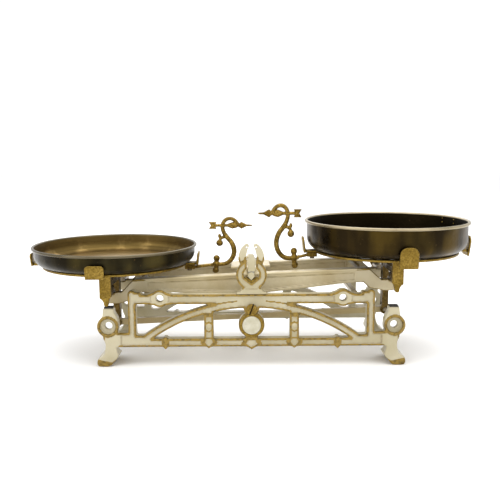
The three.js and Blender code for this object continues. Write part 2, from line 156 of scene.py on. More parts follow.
def noise(tree, where, scale, detail=4.0, roughness=0.55):
    inputs = {"Vector": where, "Scale": scale, "Detail": detail, "Roughness": roughness}
    return addNode(tree, "ShaderNodeTexNoise", inputs).outputs[0]


def step(tree, value, low, high, start=0.0, end=1.0):
    inputs = {"Value": value, "From Min": low, "From Max": high, "To Min": start, "To Max": end}
    return addNode(tree, "ShaderNodeMapRange", inputs, interpolation_type="SMOOTHSTEP").outputs[0]


def calc(tree, operation, first, second=0.0):
    return addNode(tree, "ShaderNodeMath", {0: first, 1: second}, operation=operation).outputs[0]


def blendColours(tree, factor, first, second):
    inputs = {0: factor, 6: first, 7: second}
    return addNode(tree, "ShaderNodeMix", inputs, data_type="RGBA").outputs[2]


def attribute(tree, name):
    return addNode(tree, "ShaderNodeAttribute", {}, attribute_name=name).outputs["Fac"]


def bump(tree, height, distance, normal=None):
    inputs = {"Height": height, "Distance": distance}
    if normal is not None:
        inputs["Normal"] = normal
    return addNode(tree, "ShaderNodeBump", inputs).outputs[0]


# Materials

# Cream paint with gold lines: grime and painted shade darken the sunk faces, most on their slopes, and
# gold edges are chipped to the iron.
def paintedIron(name, cream, aged):
    look = {"grimeAndShade": (0.15, 0.1, 0.035), "gold": (0.26, 0.168, 0.028), "goldDark": (0.08, 0.05, 0.007),
            "iron": (0.05, 0.035, 0.022), "broad": 16, "fine": 240, "speck": 620, "chips": 330,
            "lumps": 70, "goldMetal": 0.6, "rough": (0.3, 0.5), "coat": 0.25, "coatRough": 0.2,
            "bump": 0.5 * mm}
    material, tree, shader = newMaterial(name)
    where = place(tree)
    broad = noise(tree, where, look["broad"], 3)
    fine = noise(tree, where, look["fine"], 5, 0.6)
    speck = noise(tree, where, look["speck"], 2)
    goldLine = calc(tree, "ADD", attribute(tree, "goldLine"), step(tree, fine, 0.25, 0.75, -0.2, 0.2))
    gold = step(tree, goldLine, 0.42, 0.58)
    paint = blendColours(tree, step(tree, broad, 0.35, 0.68), cream, aged)
    # Painted shade with grime: the recess slopes are darkened towards the grime colour.
    dirtAndShade = calc(tree, "MULTIPLY", attribute(tree, "recess"), step(tree, fine, 0.3, 0.7, 0.3, 0.75))
    paint = blendColours(tree, dirtAndShade, paint, look["grimeAndShade"])
    spots = step(tree, speck, 0.7, 0.76, 0, 0.55)
    paint = blendColours(tree, spots, paint, look["grimeAndShade"])
    bronze = blendColours(tree, step(tree, fine, 0.28, 0.58), look["goldDark"], look["gold"])
    paint = blendColours(tree, gold, paint, bronze)
    chip = calc(tree, "MULTIPLY", step(tree, attribute(tree, "worn"), 0.4, 0.9),
                step(tree, noise(tree, where, look["chips"], 3), 0.7, 0.73))
    feed(tree, shader.inputs["Base Color"], blendColours(tree, chip, paint, look["iron"]))
    feed(tree, shader.inputs["Metallic"], calc(tree, "MULTIPLY", gold, look["goldMetal"]))
    feed(tree, shader.inputs["Roughness"], step(tree, fine, 0.2, 0.8, *look["rough"]))
    shader.inputs["Coat Weight"].default_value = look["coat"]
    shader.inputs["Coat Roughness"].default_value = look["coatRough"]
    lumps = calc(tree, "ADD", noise(tree, where, look["lumps"], 2), calc(tree, "MULTIPLY", fine, 0.35))
    lumps = calc(tree, "SUBTRACT", lumps, calc(tree, "MULTIPLY", chip, 0.5))
    feed(tree, shader.inputs["Normal"], bump(tree, lumps, look["bump"]))
    return material


# Rough cast metal in three tones, the deep one in its pits.
def castMetal(name, look):
    material, tree, shader = newMaterial(name)
    where = place(tree)
    cloud = noise(tree, where, 60, 4, 0.6)
    fine = noise(tree, where, 420, 4, 0.65)
    pits = step(tree, noise(tree, where, 900, 2), 0.3, 0.42)
    colour = blendColours(tree, step(tree, cloud, 0.36, 0.66), look["bright"], look["dull"])
    colour = blendColours(tree, step(tree, fine, 0.62, 0.36, 0, 0.75), colour, look["deep"])
    colour = blendColours(tree, pits, look["deep"], colour)
    feed(tree, shader.inputs["Base Color"], colour)
    shader.inputs["Metallic"].default_value = 0.88
    feed(tree, shader.inputs["Roughness"], step(tree, cloud, 0.25, 0.75, *look["rough"]))
    height = calc(tree, "ADD", calc(tree, "MULTIPLY", fine, 0.5), calc(tree, "MULTIPLY", pits, 0.3))
    height = calc(tree, "ADD", height, noise(tree, where, 150, 2))
    feed(tree, shader.inputs["Normal"], bump(tree, height, look["grain"]))
    return material


# Painted shade and old dirt darken the screwdriver slot, a band through the screw's middle that leans from
# upright.
def darkenSlot(material, look):
    tree = material.node_tree
    shader = next(node for node in tree.nodes if node.type == "BSDF_PRINCIPLED")
    split = addNode(tree, "ShaderNodeSeparateXYZ", {"Vector": place(tree, (0, 0, look["height"]))}).outputs
    turn = math.radians(look["lean"])
    sideways = calc(tree, "ADD", calc(tree, "MULTIPLY", split["X"], math.cos(turn)),
                    calc(tree, "MULTIPLY", split["Z"], math.sin(turn)))
    slot = step(tree, calc(tree, "ABSOLUTE", sideways), look["half"], look["half"] * 0.7)
    metal = shader.inputs["Base Color"].links[0].from_socket
    feed(tree, shader.inputs["Base Color"], blendColours(tree, slot, metal, look["dirtAndShade"]))


def wornSteel():
    look = {"bright": (0.24, 0.2, 0.14), "dull": (0.12, 0.09, 0.055), "rust": (0.11, 0.055, 0.02),
            "cloud": 90, "rustSpots": 260, "lines": 1400, "alongLines": 0.08, "rough": (0.28, 0.5),
            "bump": 0.06 * mm}
    material, tree, shader = newMaterial("wornSteel")
    where = place(tree)
    cloud = noise(tree, where, look["cloud"], 4)
    lines = noise(tree, place(tree, scale=(1, look["alongLines"], 1)), look["lines"], 2)
    colour = blendColours(tree, step(tree, cloud, 0.35, 0.65), look["bright"], look["dull"])
    rust = step(tree, noise(tree, where, look["rustSpots"], 5), 0.6, 0.7)
    colour = blendColours(tree, rust, colour, look["rust"])
    feed(tree, shader.inputs["Base Color"], colour)
    shader.inputs["Metallic"].default_value = 0.9
    feed(tree, shader.inputs["Roughness"], step(tree, cloud, 0.3, 0.7, *look["rough"]))
    feed(tree, shader.inputs["Normal"], bump(tree, lines, look["bump"]))
    return material


# Spun brass: rings about the middle, cloudy tarnish, painted reflections in streaks up the outer wall, and
# a rubbed bead round the rim.
def panBrass(name, centre, radius, look):
    grain = {"rings": 900, "ringRise": 700, "streakTurn": 4.5, "streakRise": 12, "cloud": 26, "fine": 300,
             "ringBump": 0.05 * mm, "dentBump": 0.9 * mm}
    material, tree, shader = newMaterial(name)
    where = place(tree, centre)
    split = addNode(tree, "ShaderNodeSeparateXYZ", {"Vector": where}).outputs
    flat = addNode(tree, "ShaderNodeCombineXYZ", {"X": split["X"], "Y": split["Y"]}).outputs[0]
    distance = addNode(tree, "ShaderNodeVectorMath", {0: flat}, operation="LENGTH").outputs["Value"]
    angle = calc(tree, "ARCTAN2", split["Y"], split["X"])
    # spun rings: the noise runs with distance from the middle and hardly with the angle
    spun = addNode(tree, "ShaderNodeCombineXYZ",
                   {"X": calc(tree, "MULTIPLY", distance, grain["rings"]),
                    "Y": calc(tree, "SINE", angle),
                    "Z": calc(tree, "MULTIPLY", split["Z"], grain["ringRise"])}).outputs[0]
    rings = noise(tree, spun, 1.0, 3)
    wallPlace = addNode(tree, "ShaderNodeCombineXYZ",
                        {"X": calc(tree, "MULTIPLY", calc(tree, "SINE", angle), grain["streakTurn"]),
                         "Y": calc(tree, "MULTIPLY", calc(tree, "COSINE", angle), grain["streakTurn"]),
                         "Z": calc(tree, "MULTIPLY", split["Z"], grain["streakRise"])}).outputs[0]
    reflectionStreaks = noise(tree, wallPlace, 1.2, 2, 0.35)
    cloud = noise(tree, where, grain["cloud"], 5, 0.6)
    fine = noise(tree, where, grain["fine"], 4)
    inside = attribute(tree, "inside")
    bead = attribute(tree, "bead")
    # the lighter streaks up the outer wall are painted reflections
    outer = blendColours(tree, step(tree, reflectionStreaks, 0.3, 0.75), look["outer"], look["outerReflection"])
    outer = blendColours(tree, step(tree, cloud, 0.5, 0.72, 0, 0.6), outer, look["outerCool"])
    across = calc(tree, "DIVIDE", distance, radius)
    across = calc(tree, "ADD", across, step(tree, cloud, 0.2, 0.8, -0.12, 0.12))
    inner = blendColours(tree, step(tree, across, 0.15, 0.6), look["innerMiddle"], look["inner"])
    inner = blendColours(tree, step(tree, across, look["edgeStart"], 0.98), inner, look["innerEdge"])
    inner = blendColours(tree, step(tree, rings, 0.45, 0.7, 0, 0.35), inner, look["outer"])
    colour = blendColours(tree, inside, outer, inner)
    colour = blendColours(tree, step(tree, fine, 0.64, 0.72, 0, 0.5), colour, look["spot"])
    rubbed = calc(tree, "MULTIPLY", bead, step(tree, cloud, 0.3, 0.6, 0.7, 1.0))
    feed(tree, shader.inputs["Base Color"], blendColours(tree, rubbed, colour, look["bead"]))
    shader.inputs["Metallic"].default_value = 0.95
    rough = step(tree, cloud, 0.25, 0.75, 0.24, 0.4)
    rough = calc(tree, "ADD", rough, calc(tree, "MULTIPLY", inside, 0.08))
    feed(tree, shader.inputs["Roughness"], rough)
    ringBump = bump(tree, rings, grain["ringBump"])
    feed(tree, shader.inputs["Normal"], bump(tree, cloud, grain["dentBump"], ringBump))
    return material


def stopLeather():
    look = {"dark": (0.012, 0.01, 0.009), "pale": (0.04, 0.035, 0.03), "grain": 900, "bump": 0.2 * mm}
    material, tree, shader = newMaterial("stopLeather")
    where = place(tree)
    grain = noise(tree, where, look["grain"], 3)
    feed(tree, shader.inputs["Base Color"], blendColours(tree, grain, look["dark"], look["pale"]))
    shader.inputs["Roughness"].default_value = 0.8
    feed(tree, shader.inputs["Normal"], bump(tree, grain, look["bump"]))
    return material


def medallionEnamel():
    look = {"white": (0.5, 0.47, 0.36), "shade": (0.4, 0.37, 0.26), "crack": (0.2, 0.17, 0.1),
            "cloud": 120, "cells": 260, "rough": (0.18, 0.34), "coat": 0.2, "bump": 0.25 * mm}
    material, tree, shader = newMaterial("medallionEnamel")
    where = place(tree)
    cloud = noise(tree, where, look["cloud"], 4)
    cells = addNode(tree, "ShaderNodeTexVoronoi", {"Vector": where, "Scale": look["cells"]},
                    feature="DISTANCE_TO_EDGE")
    crackle = step(tree, cells.outputs["Distance"], 0.0, 0.03, 0.3, 0)
    colour = blendColours(tree, step(tree, cloud, 0.35, 0.65), look["white"], look["shade"])
    feed(tree, shader.inputs["Base Color"], blendColours(tree, crackle, colour, look["crack"]))
    feed(tree, shader.inputs["Roughness"], step(tree, cloud, 0.3, 0.7, *look["rough"]))
    shader.inputs["Coat Weight"].default_value = look["coat"]
    feed(tree, shader.inputs["Normal"], bump(tree, cloud, look["bump"]))
    return material


ironLooks = {"paintedIron": {"cream": (0.455, 0.405, 0.27), "aged": (0.36, 0.31, 0.18)},
             # a lighter copy of the cream paint for the beam: a painted light
             "litBeamIron": {"cream": (0.56, 0.48, 0.3), "aged": (0.45, 0.36, 0.19)},
             # a darker, warmer copy for the ties and stay inside the frame: a painted shade
             "shadedInnerIron": {"cream": (0.44, 0.35, 0.17), "aged": (0.34, 0.255, 0.11)}}
castLooks = {"goldCast": {"bright": (0.29, 0.19, 0.038), "dull": (0.2, 0.125, 0.018),
                          "deep": (0.1, 0.06, 0.008), "rough": (0.3, 0.46), "grain": 0.25 * mm},
             "bronzeCast": {"bright": (0.36, 0.23, 0.045), "dull": (0.2, 0.12, 0.018),
                            "deep": (0.05, 0.03, 0.005), "rough": (0.3, 0.52), "grain": 0.45 * mm},
             # a darker copy of the gold cast for the carrier parts under the crosses: a painted shade
             "shadedCast": {"bright": (0.17, 0.11, 0.03), "dull": (0.1, 0.062, 0.014),
                          "deep": (0.04, 0.024, 0.005), "rough": (0.3, 0.52), "grain": 0.45 * mm},
             "slottedBrass": {"bright": (0.3, 0.2, 0.045), "dull": (0.2, 0.125, 0.022),
                              "deep": (0.09, 0.052, 0.008), "rough": (0.32, 0.46), "grain": 0.2 * mm}}
# the dark band in the slot is painted shade with old dirt
slotLook = {"height": 80.7 * mm, "lean": -20, "half": 1.1 * mm, "dirtAndShade": (0.02, 0.012, 0.004)}

iron, litBeamIron, shadedInnerIron = [paintedIron(name, **look) for name, look in ironLooks.items()]
goldCast, bronzeCast, shadedCast, slottedBrass = [castMetal(name, look) for name, look in castLooks.items()]
darkenSlot(slottedBrass, slotLook)
steel = wornSteel()
leather = stopLeather()
enamel = medallionEnamel()
print("materials made")


# Castings taken from the CAD solids

def cadCopy(node, name):
    piece = bpy.data.objects.new(name, frame["nodes"][node].data.copy())
    piece.data.name = name
    scene.collection.objects.link(piece)
    makeActive(piece)
    bpy.ops.mesh.customdata_custom_splitnormals_clear()
    bpy.ops.object.mode_set(mode="EDIT")
    bpy.ops.mesh.select_all(action="SELECT")
    bpy.ops.mesh.remove_doubles(threshold=1e-5)
    bpy.ops.object.mode_set(mode="OBJECT")
    return piece


# Points close together along the sharp edges of the faces that look along the given side of Y.
def outlinePoints(piece, side):
    spacing = 0.4 * mm
    squareOn = 0.95
    mesh = bmesh.new()
    mesh.from_mesh(piece.data)
    mesh.normal_update()
    points = []
    for edge in mesh.edges:
        facing = [face.normal.y * side > squareOn for face in edge.link_faces]
        if facing.count(True) != 1:
            continue
        start, end = (corner.co for corner in edge.verts)
        count = max(1, math.ceil((end - start).length / spacing))
        points += [start.lerp(end, number / count) for number in range(count + 1)]
    mesh.free()
    return points


def distances(places, points, flat):
    squash = Vector((1, 0 if flat else 1, 1))
    tree = kdtree.KDTree(len(points))
    for number, point in enumerate(points):
        tree.insert(point * squash, number)
    tree.balance()
    return np.array([tree.find(Vector(spot) * squash)[2] for spot in places])


def readPlaces(piece):
    count = len(piece.data.vertices)
    places = np.zeros(count * 3, np.float32)
    normals = np.zeros(count * 3, np.float32)
    piece.data.vertices.foreach_get("co", places)
    piece.data.vertices.foreach_get("normal", normals)
    return places.reshape(-1, 3).astype(float), normals.reshape(-1, 3).astype(float)


def writePlaces(piece, places):
    piece.data.vertices.foreach_set("co", places.astype(np.float32).ravel())
    piece.data.update()


def writeAttribute(piece, name, values):
    layer = piece.data.attributes.new(name, "FLOAT", "POINT")
    layer.data.foreach_set("value", np.asarray(values, np.float32))


def ease(values, low, high):
    share = np.clip((values - low) / (high - low), 0, 1)
    return share * share * (3 - 2 * share)


def remeshCast(piece, voxel, rounds):
    applyModifier(piece, "REMESH", mode="VOXEL", voxel_size=voxel, use_smooth_shade=True)
    applyModifier(piece, "SMOOTH", factor=0.5, iterations=rounds)


# A casting with sunk faces inside raised edges; the edges that keepGold allows are painted gold.
def reliefCasting(node, name, sides, look, keepGold, keepSunk):
    piece = cadCopy(node, name)
    outlines = {side: outlinePoints(piece, side) for side in sides}
    remeshCast(piece, look["voxel"], look["rounds"])
    places, normals = readPlaces(piece)
    goldLine = np.zeros(len(places))
    sunk = np.zeros(len(places))
    goldFade = (look["gold"] * 0.7, look["gold"] * 1.3)
    for side, points in outlines.items():
        flatAway = distances(places, points, True)
        looking = ease(normals[:, 1] * side, 0.6, 0.95) * keepSunk(places)
        depth = ease(flatAway, look["edge"], look["edge"] + look["slope"]) * looking
        sunk = np.maximum(sunk, depth)
        painted = [point for point in points if keepGold(point)]
        if painted:
            away = distances(places, painted, False)
            goldLine = np.maximum(goldLine, 1 - ease(away, *goldFade))
    places[:, 1] -= sunk * look["depth"] * np.sign(normals[:, 1])
    writePlaces(piece, places)
    writeAttribute(piece, "goldLine", goldLine)
    # recess peaks on the slopes into the sunk faces; the paint darkens there as painted shade with grime.
    writeAttribute(piece, "recess", 4 * sunk * (1 - sunk) + 0.15 * sunk)
    writeAttribute(piece, "worn", goldLine)
    return piece


def mirroredCopy(piece, name):
    makeActive(piece)
    bpy.ops.object.duplicate()
    copy = bpy.context.view_layer.objects.active
    copy.name = name
    copy.data.name = name
    copy.data.transform(Matrix.Scale(-1, 4, (0, 1, 0)))
    copy.data.flip_normals()
    return copy


# The two frames

# x is the distance from the middle of the scale, z the height above the table.
frameLook = {
    "voxel": 1.15 * mm, "rounds": 2, "edge": 3.0 * mm, "slope": 1.2 * mm, "depth": 1.3 * mm,
    "gold": 2.9 * mm, "frontY": -84.5 * mm,
    # end rings, with a raised lip between two radii
    "ringX": 198 * mm, "ringZ": 57 * mm, "ringPlain": 16 * mm, "ringLip": (10.2 * mm, 15.4 * mm),
    "lipRise": 1.3 * mm,
    # the feet and the stubs above them have no gold outline and aren't sunk
    "footX": 182 * mm, "footTop": 40 * mm, "stubFoot": 60 * mm, "sunkEnd": (178 * mm, 182 * mm),
    # gold soles: the height of the gold at places along the foot
    "soleX": (183.5 * mm, 187 * mm, 193.5 * mm, 201 * mm, 211 * mm, 215 * mm),
    "soleTop": (15.5 * mm, 11.5 * mm, 6.5 * mm, 8.3 * mm, 10.3 * mm, 11 * mm),
    "soleFade": (-0.8 * mm, 0.6 * mm),
    # tie bosses
    "bossX": 126 * mm, "bossZ": 96 * mm, "bossBore": 7 * mm, "bossFace": (11 * mm, 14 * mm),
    # the arch's gold line
    "archZ": -156.9 * mm, "archRadius": 249.4 * mm, "archSpan": (20 * mm, 54 * mm),
    "archFade": (0.8 * mm, 1.3 * mm),
    # studs on the narrow bars, and the bands about them: height and slant of each
    "barX": 59 * mm, "studZ": 57.5 * mm, "studPlain": 5.2 * mm, "bandHalf": 6.9 * mm,
    "bands": ((63.0 * mm, -0.4), (49.3 * mm, 0.66), (40.0 * mm, 0)), "bandFade": (1.0 * mm, 1.6 * mm),
    # parts that are gold all over
    "narrowX": 119 * mm, "narrowHalf": 3.4 * mm, "narrowZ": (23 * mm, 42.5 * mm),
    "neckHalf": 9 * mm, "neckZ": (37 * mm, 47 * mm), "middleZ": 58.6 * mm, "bedRadius": 19.6 * mm}


def framePainted(point):
    x = abs(point[0])
    ring = math.hypot(x - frameLook["ringX"], point[2] - frameLook["ringZ"])
    boss = math.hypot(x - frameLook["bossX"], point[2] - frameLook["bossZ"])
    stud = math.hypot(x - frameLook["barX"], point[2] - frameLook["studZ"])
    foot = x > frameLook["footX"] and point[2] < frameLook["footTop"]
    stub = x > frameLook["footX"] and point[2] > frameLook["stubFoot"]
    plain = foot or stub or stud < frameLook["studPlain"]
    return ring > frameLook["ringPlain"] and boss > frameLook["bossBore"] and not plain


def frameSunk(places):
    x = np.abs(places[:, 0])
    outer = ease(x, *frameLook["sunkEnd"])
    boss = np.hypot(x - frameLook["bossX"], places[:, 2] - frameLook["bossZ"])
    return (1 - outer) * ease(boss, *frameLook["bossFace"])


def between(values, span):
    return (values > span[0]) & (values < span[1])


def frameCasting():
    look = frameLook
    piece = reliefCasting("frame_front", "frameFront", [-1], look, framePainted, frameSunk)
    places = readPlaces(piece)[0]
    x = np.abs(places[:, 0])
    z = places[:, 2]
    front = places[:, 1] < look["frontY"]
    stored = np.zeros(len(places), np.float32)
    piece.data.attributes["goldLine"].data.foreach_get("value", stored)
    goldLine = stored.astype(float)
    # the raised lip of each end ring
    ring = np.hypot(x - look["ringX"], z - look["ringZ"])
    low, high = look["ringLip"]
    middle = (low + high) / 2
    lip = np.clip(1 - ((ring - middle) / ((high - low) / 2)) ** 2, 0, 1) * front
    places[:, 1] -= lip * look["lipRise"]
    goldLine = np.maximum(goldLine, ease(lip, 0.0, 0.3))
    # gold soles, highest on the inner side of the paw and lowest under its middle
    soleTop = np.interp(x, look["soleX"], look["soleTop"])
    sole = (1 - ease(z - soleTop, *look["soleFade"])) * (x > look["footX"])
    goldLine = np.maximum(goldLine, sole)
    # the arch's upper edge shows as a line across the rail, up to the middle
    archAway = np.abs(np.hypot(x, z - look["archZ"]) - look["archRadius"])
    line = (1 - ease(archAway, *look["archFade"])) * between(x, look["archSpan"]) * front
    goldLine = np.maximum(goldLine, line)
    # pointed bands above and below each stud
    across = np.abs(x - look["barX"])
    for base, slant in look["bands"]:
        line = np.abs(z - base - slant * across)
        band = (1 - ease(line, *look["bandFade"])) * (across < look["bandHalf"]) * front
        goldLine = np.maximum(goldLine, band)
    # the narrow bands, the neck of the shield and the bed of the medallion are gold all over
    narrow = (np.abs(x - look["narrowX"]) < look["narrowHalf"]) & between(z, look["narrowZ"])
    neck = (x < look["neckHalf"]) & between(z, look["neckZ"])
    bed = np.hypot(x, z - look["middleZ"]) < look["bedRadius"]
    goldLine = np.maximum(goldLine, (narrow | neck | bed) * front)
    writePlaces(piece, places)
    piece.data.attributes["goldLine"].data.foreach_set("value", goldLine.astype(np.float32))
    return piece


frameFront = frameCasting()
frameRear = mirroredCopy(frameFront, "frameRear")
finishPiece(frameFront, iron, "base", "enamel", "frame_front")
finishPiece(frameRear, iron, "base", "enamel", "frame_rear")
print("frames cast:", len(frameFront.data.polygons), "faces each")


# The stand that carries the centre knife

standLook = {"voxel": 0.65 * mm, "rounds": 2, "edge": 2.6 * mm, "slope": 0.9 * mm, "depth": 0.8 * mm,
             "gold": 2.7 * mm, "goldZ": (111 * mm, 151 * mm), "sunkFoot": (108 * mm, 110 * mm),
             "sunkTop": (147 * mm, 149 * mm)}


def standPainted(point):
    low, high = standLook["goldZ"]
    return low < point[2] < high


def standSunk(places):
    z = places[:, 2]
    return ease(z, *standLook["sunkFoot"]) * (1 - ease(z, *standLook["sunkTop"]))


standFront = reliefCasting("fulcrum_stand_front", "standFront", [-1], standLook, standPainted, standSunk)
finishPiece(standFront, iron, "base", "enamel", "fulcrum_stand_front")
standRear = reliefCasting("fulcrum_stand_rear", "standRear", [1], standLook, standPainted, standSunk)
finishPiece(standRear, iron, "base", "enamel", "fulcrum_stand_rear")
print("stands cast")


# The beam

beamLook = {"voxel": 1.2 * mm, "rounds": 2, "edge": 3.4 * mm, "slope": 1.4 * mm, "depth": 1.4 * mm,
            "gold": 1.0 * mm, "endX": (150 * mm, 156 * mm)}


def beamPainted(point):
    return abs(point[0]) > beamLook["endX"][0]


def beamSunk(places):
    return 1 - ease(np.abs(places[:, 0]), *beamLook["endX"])


beamPiece = reliefCasting("beam", "beamCasting", [-1, 1], beamLook, beamPainted, beamSunk)
# The beam takes the lighter copy of the cream paint, a painted light.
finishPiece(beamPiece, litBeamIron, "beam_body", "enamel", "beam")
print("beam cast:", len(beamPiece.data.polygons), "faces")


# Pan crosses

crossLook = {"voxel": 0.95 * mm, "rounds": 3}
for side in ("left", "right"):
    cross = cadCopy(side + "_cross", side + "Cross")
    remeshCast(cross, crossLook["voxel"], crossLook["rounds"])
    finishPiece(cross, goldCast, side + "_carrier", "gold_paint", side + "_cross")
print("crosses cast")


# Pans

panLook = {"radius": 116.6 * mm, "segments": 160, "beadOut": 0.9 * mm, "cornerSteps": 8, "beadSteps": 12,
           "beadTurn": (-math.pi * 0.68, math.pi * 1.02), "floorShares": (0.08, 0.25, 0.42, 0.58, 0.72),
           "left": {"corner": 15 * mm, "bead": 2 * mm, "sheet": 1.6 * mm},
           "right": {"corner": 18 * mm, "bead": 2.2 * mm, "sheet": 1.2 * mm}}
panColours = {
    "left": {"outer": (0.01, 0.0075, 0.003), "outerReflection": (0.05, 0.038, 0.011),
             "outerCool": (0.022, 0.019, 0.009), "inner": (0.3, 0.2, 0.07),
             "innerMiddle": (0.44, 0.34, 0.2), "innerEdge": (0.13, 0.085, 0.024),
             "spot": (0.1, 0.06, 0.02), "bead": (0.12, 0.1, 0.062), "edgeStart": 0.84},
    "right": {"outer": (0.016, 0.01, 0.003), "outerReflection": (0.07, 0.044, 0.008),
              "outerCool": (0.03, 0.021, 0.006), "inner": (0.015, 0.009, 0.002),
              "innerMiddle": (0.02, 0.013, 0.004), "innerEdge": (0.011, 0.007, 0.002),
              "spot": (0.06, 0.038, 0.014), "bead": (0.36, 0.3, 0.19), "edgeStart": 0.7}}


def arc(size, turn, x, z, count):
    start, end = turn
    angles = [start + (end - start) * number / count for number in range(count + 1)]
    return [(x + size * math.cos(angle), z + size * math.sin(angle)) for angle in angles]


# The dish's section as (radius, height): up the outside, round the bead and down the inside.
def dishProfile(height, size):
    radius, corner, bead, sheet = panLook["radius"], size["corner"], size["bead"], size["sheet"]
    turn = radius - corner
    floorRings = [radius * share for share in panLook["floorShares"]]
    outside = [(ring, 0.0) for ring in floorRings]
    outside += arc(corner, (-math.pi / 2, 0), turn, corner, panLook["cornerSteps"])
    rim = arc(bead, panLook["beadTurn"], radius + panLook["beadOut"], height - bead, panLook["beadSteps"])
    inside = arc(corner - sheet, (0, -math.pi / 2), turn, corner, panLook["cornerSteps"])
    inside += [(ring, sheet) for ring in reversed(floorRings)]
    return outside, rim, inside


def spunDish(name, centre, profile, segments):
    outside, rim, inside = profile
    rings = outside + rim + inside
    rings = outside + rim + inside
    bpy.ops.object.select_all(action="DESELECT")
    start = (centre[0], centre[1], centre[2] + rings[0][1])
    bpy.ops.mesh.primitive_circle_add(vertices=segments, radius=rings[0][0], fill_type="NGON",
                                      location=start)
    dish = bpy.context.view_layer.objects.active
    dish.name = name
    dish.data.name = name
    bpy.ops.object.mode_set(mode="EDIT")
    bpy.ops.mesh.select_all(action="SELECT")
    for (radius, height), (nextRadius, nextHeight) in zip(rings, rings[1:]):
        rise = (0, 0, nextHeight - height)
        bpy.ops.mesh.extrude_edges_move(TRANSFORM_OT_translate={"value": rise})
        size = nextRadius / radius
        bpy.ops.transform.resize(value=(size, size, 1), center_override=(centre[0], centre[1], 0))
    bpy.ops.mesh.edge_face_add()
    bpy.ops.mesh.select_all(action="SELECT")
    bpy.ops.mesh.normals_make_consistent(inside=False)
    bpy.ops.object.mode_set(mode="OBJECT")
    applyPlace(dish)
    ringOf = np.arange(len(dish.data.vertices)) // segments
    rimStart = len(outside)
    writeAttribute(dish, "inside", ringOf >= rimStart + len(rim) - 1)
    writeAttribute(dish, "bead", (ringOf >= rimStart + 1) & (ringOf < rimStart + len(rim) - 1))
    bpy.ops.object.shade_smooth_by_angle(angle=math.radians(50))
    return dish


def makePan(side):
    low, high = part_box(side + "_pan")
    centre = ((low.x + high.x) / 2, (low.y + high.y) / 2, low.z)
    profile = dishProfile(high.z - low.z, panLook[side])
    dish = spunDish(side + "Pan", centre, profile, panLook["segments"])
    brass = panBrass(side + "PanBrass", centre, panLook["radius"], panColours[side])
    finishPiece(dish, brass, side + "_dish", "pan_brass", side + "_pan")


# Four rivet heads in the deep pan's wall, behind on the right.
def panRivets():
    look = {"angles": (17, 30), "below": (5 * mm, 11 * mm), "radius": 1.3 * mm, "wall": 115.4 * mm,
            "flat": 0.7}
    low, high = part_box("right_pan")
    heads = []
    for angle in look["angles"]:
        for below in look["below"]:
            turn = math.radians(angle)
            spot = ((low.x + high.x) / 2 + look["wall"] * math.cos(turn),
                    (low.y + high.y) / 2 + look["wall"] * math.sin(turn), high.z - below)
            bpy.ops.object.select_all(action="DESELECT")
            bpy.ops.mesh.primitive_uv_sphere_add(segments=16, ring_count=8, radius=look["radius"],
                                                 location=spot)
            head = bpy.context.view_layer.objects.active
            head.scale = (look["flat"], 1, 1)
            applyPlace(head)
            bpy.ops.object.shade_smooth()
            heads.append(head)
    finishPiece(mergeInto(heads, "panRivets"), goldCast, "right_dish", "pan_brass")


for side in ("left", "right"):
    makePan(side)
panRivets()
print("pans spun")


# Pointers

pointerLook = {"rise": 20 * mm, "arm": 200 * mm, "voxel": 0.5 * mm, "rounds": 2, "arrowZ": 61.8,
               "barStart": 57, "barEnd": 84, "sides": 20,
               "left": {"shift": -6.5, "bend": 4}, "right": {"shift": 6.5, "bend": -5}}
# All in mm: x is the distance from the middle of the scale and z the height above the base bar.
# The neck and its branch are given as (x, z, half thickness).
neckLine = [(60, 0, 2.9), (50, 0, 2.9), (42, 2, 3.0), (35.5, 8, 3.2), (32, 16, 3.3), (31.8, 25, 3.4),
            (35.5, 35, 3.3), (42, 43.5, 3.1), (46.9, 52, 2.8), (48.2, 61, 2.7), (45, 69.2, 2.6),
            (37.7, 72.6, 2.5), (30.6, 69.8, 2.5), (26.6, 64.6, 2.6), (25.4, 61.8, 2.5)]
branchLine = [(40, 41.4, 2.6), (45, 43.4, 2.3), (51, 41, 2.1), (53.4, 36, 1.9)]
# The arrow and the base bar are turned, given as (x, half height, half depth).
arrowLine = [(4.6, 1.1, 1.1), (13, 1.7, 1.5), (15, 2.8, 1.9), (20.7, 5.7, 2.5), (23.8, 3.1, 2.2),
             (25.2, 2.3, 2.0), (28, 4.0, 2.7), (33.7, 5.3, 3.2), (38.5, 3.5, 2.5), (41, 2.3, 2.0),
             (56, 2.2, 2.0), (61, 2.2, 2.0)]
barTip = [(0, 2.4, 2.8), (5, 2.3, 2.8), (7, 3.2, 3.4), (9, 2.3, 2.8)]   # x from the bar's own start
barRoot = [(78, 2.3, 3.2), (84, 2.3, 4.5)]
# The knobs, as (x, z, half sizes).
knobs = [(52.8, 34, (5.2, 4.6, 5.2)), (52.8, 45, (2.4, 2.2, 3.6)), (57.5, 9.6, (4.9, 4.0, 5.0)),
         (58, 0.4, (5.6, 4.2, 5.2)), (59, -9.6, (4.8, 4.0, 4.9)), (58, -4.8, (3.6, 3.0, 4.4)),
         (57.6, 5.4, (3.6, 3.0, 4.4))]
featherLook = {"x": (57.3, 68.5), "deep": 1.8, "tall": 5.6, "overlap": 0.8, "bevel": 0.5,
               "slantFrom": 5.2, "slantSplit": 64, "notch": 0.7, "tip": -0.4,
               "ribs": (58.6, 61.4, 64.2), "ribSize": (0.45, 2.1, 4.9), "ribBevel": 0.3}
seatLook = {"low": (83, -6, -2.4), "high": (98, 6, 4.1), "bevel": 0.8}


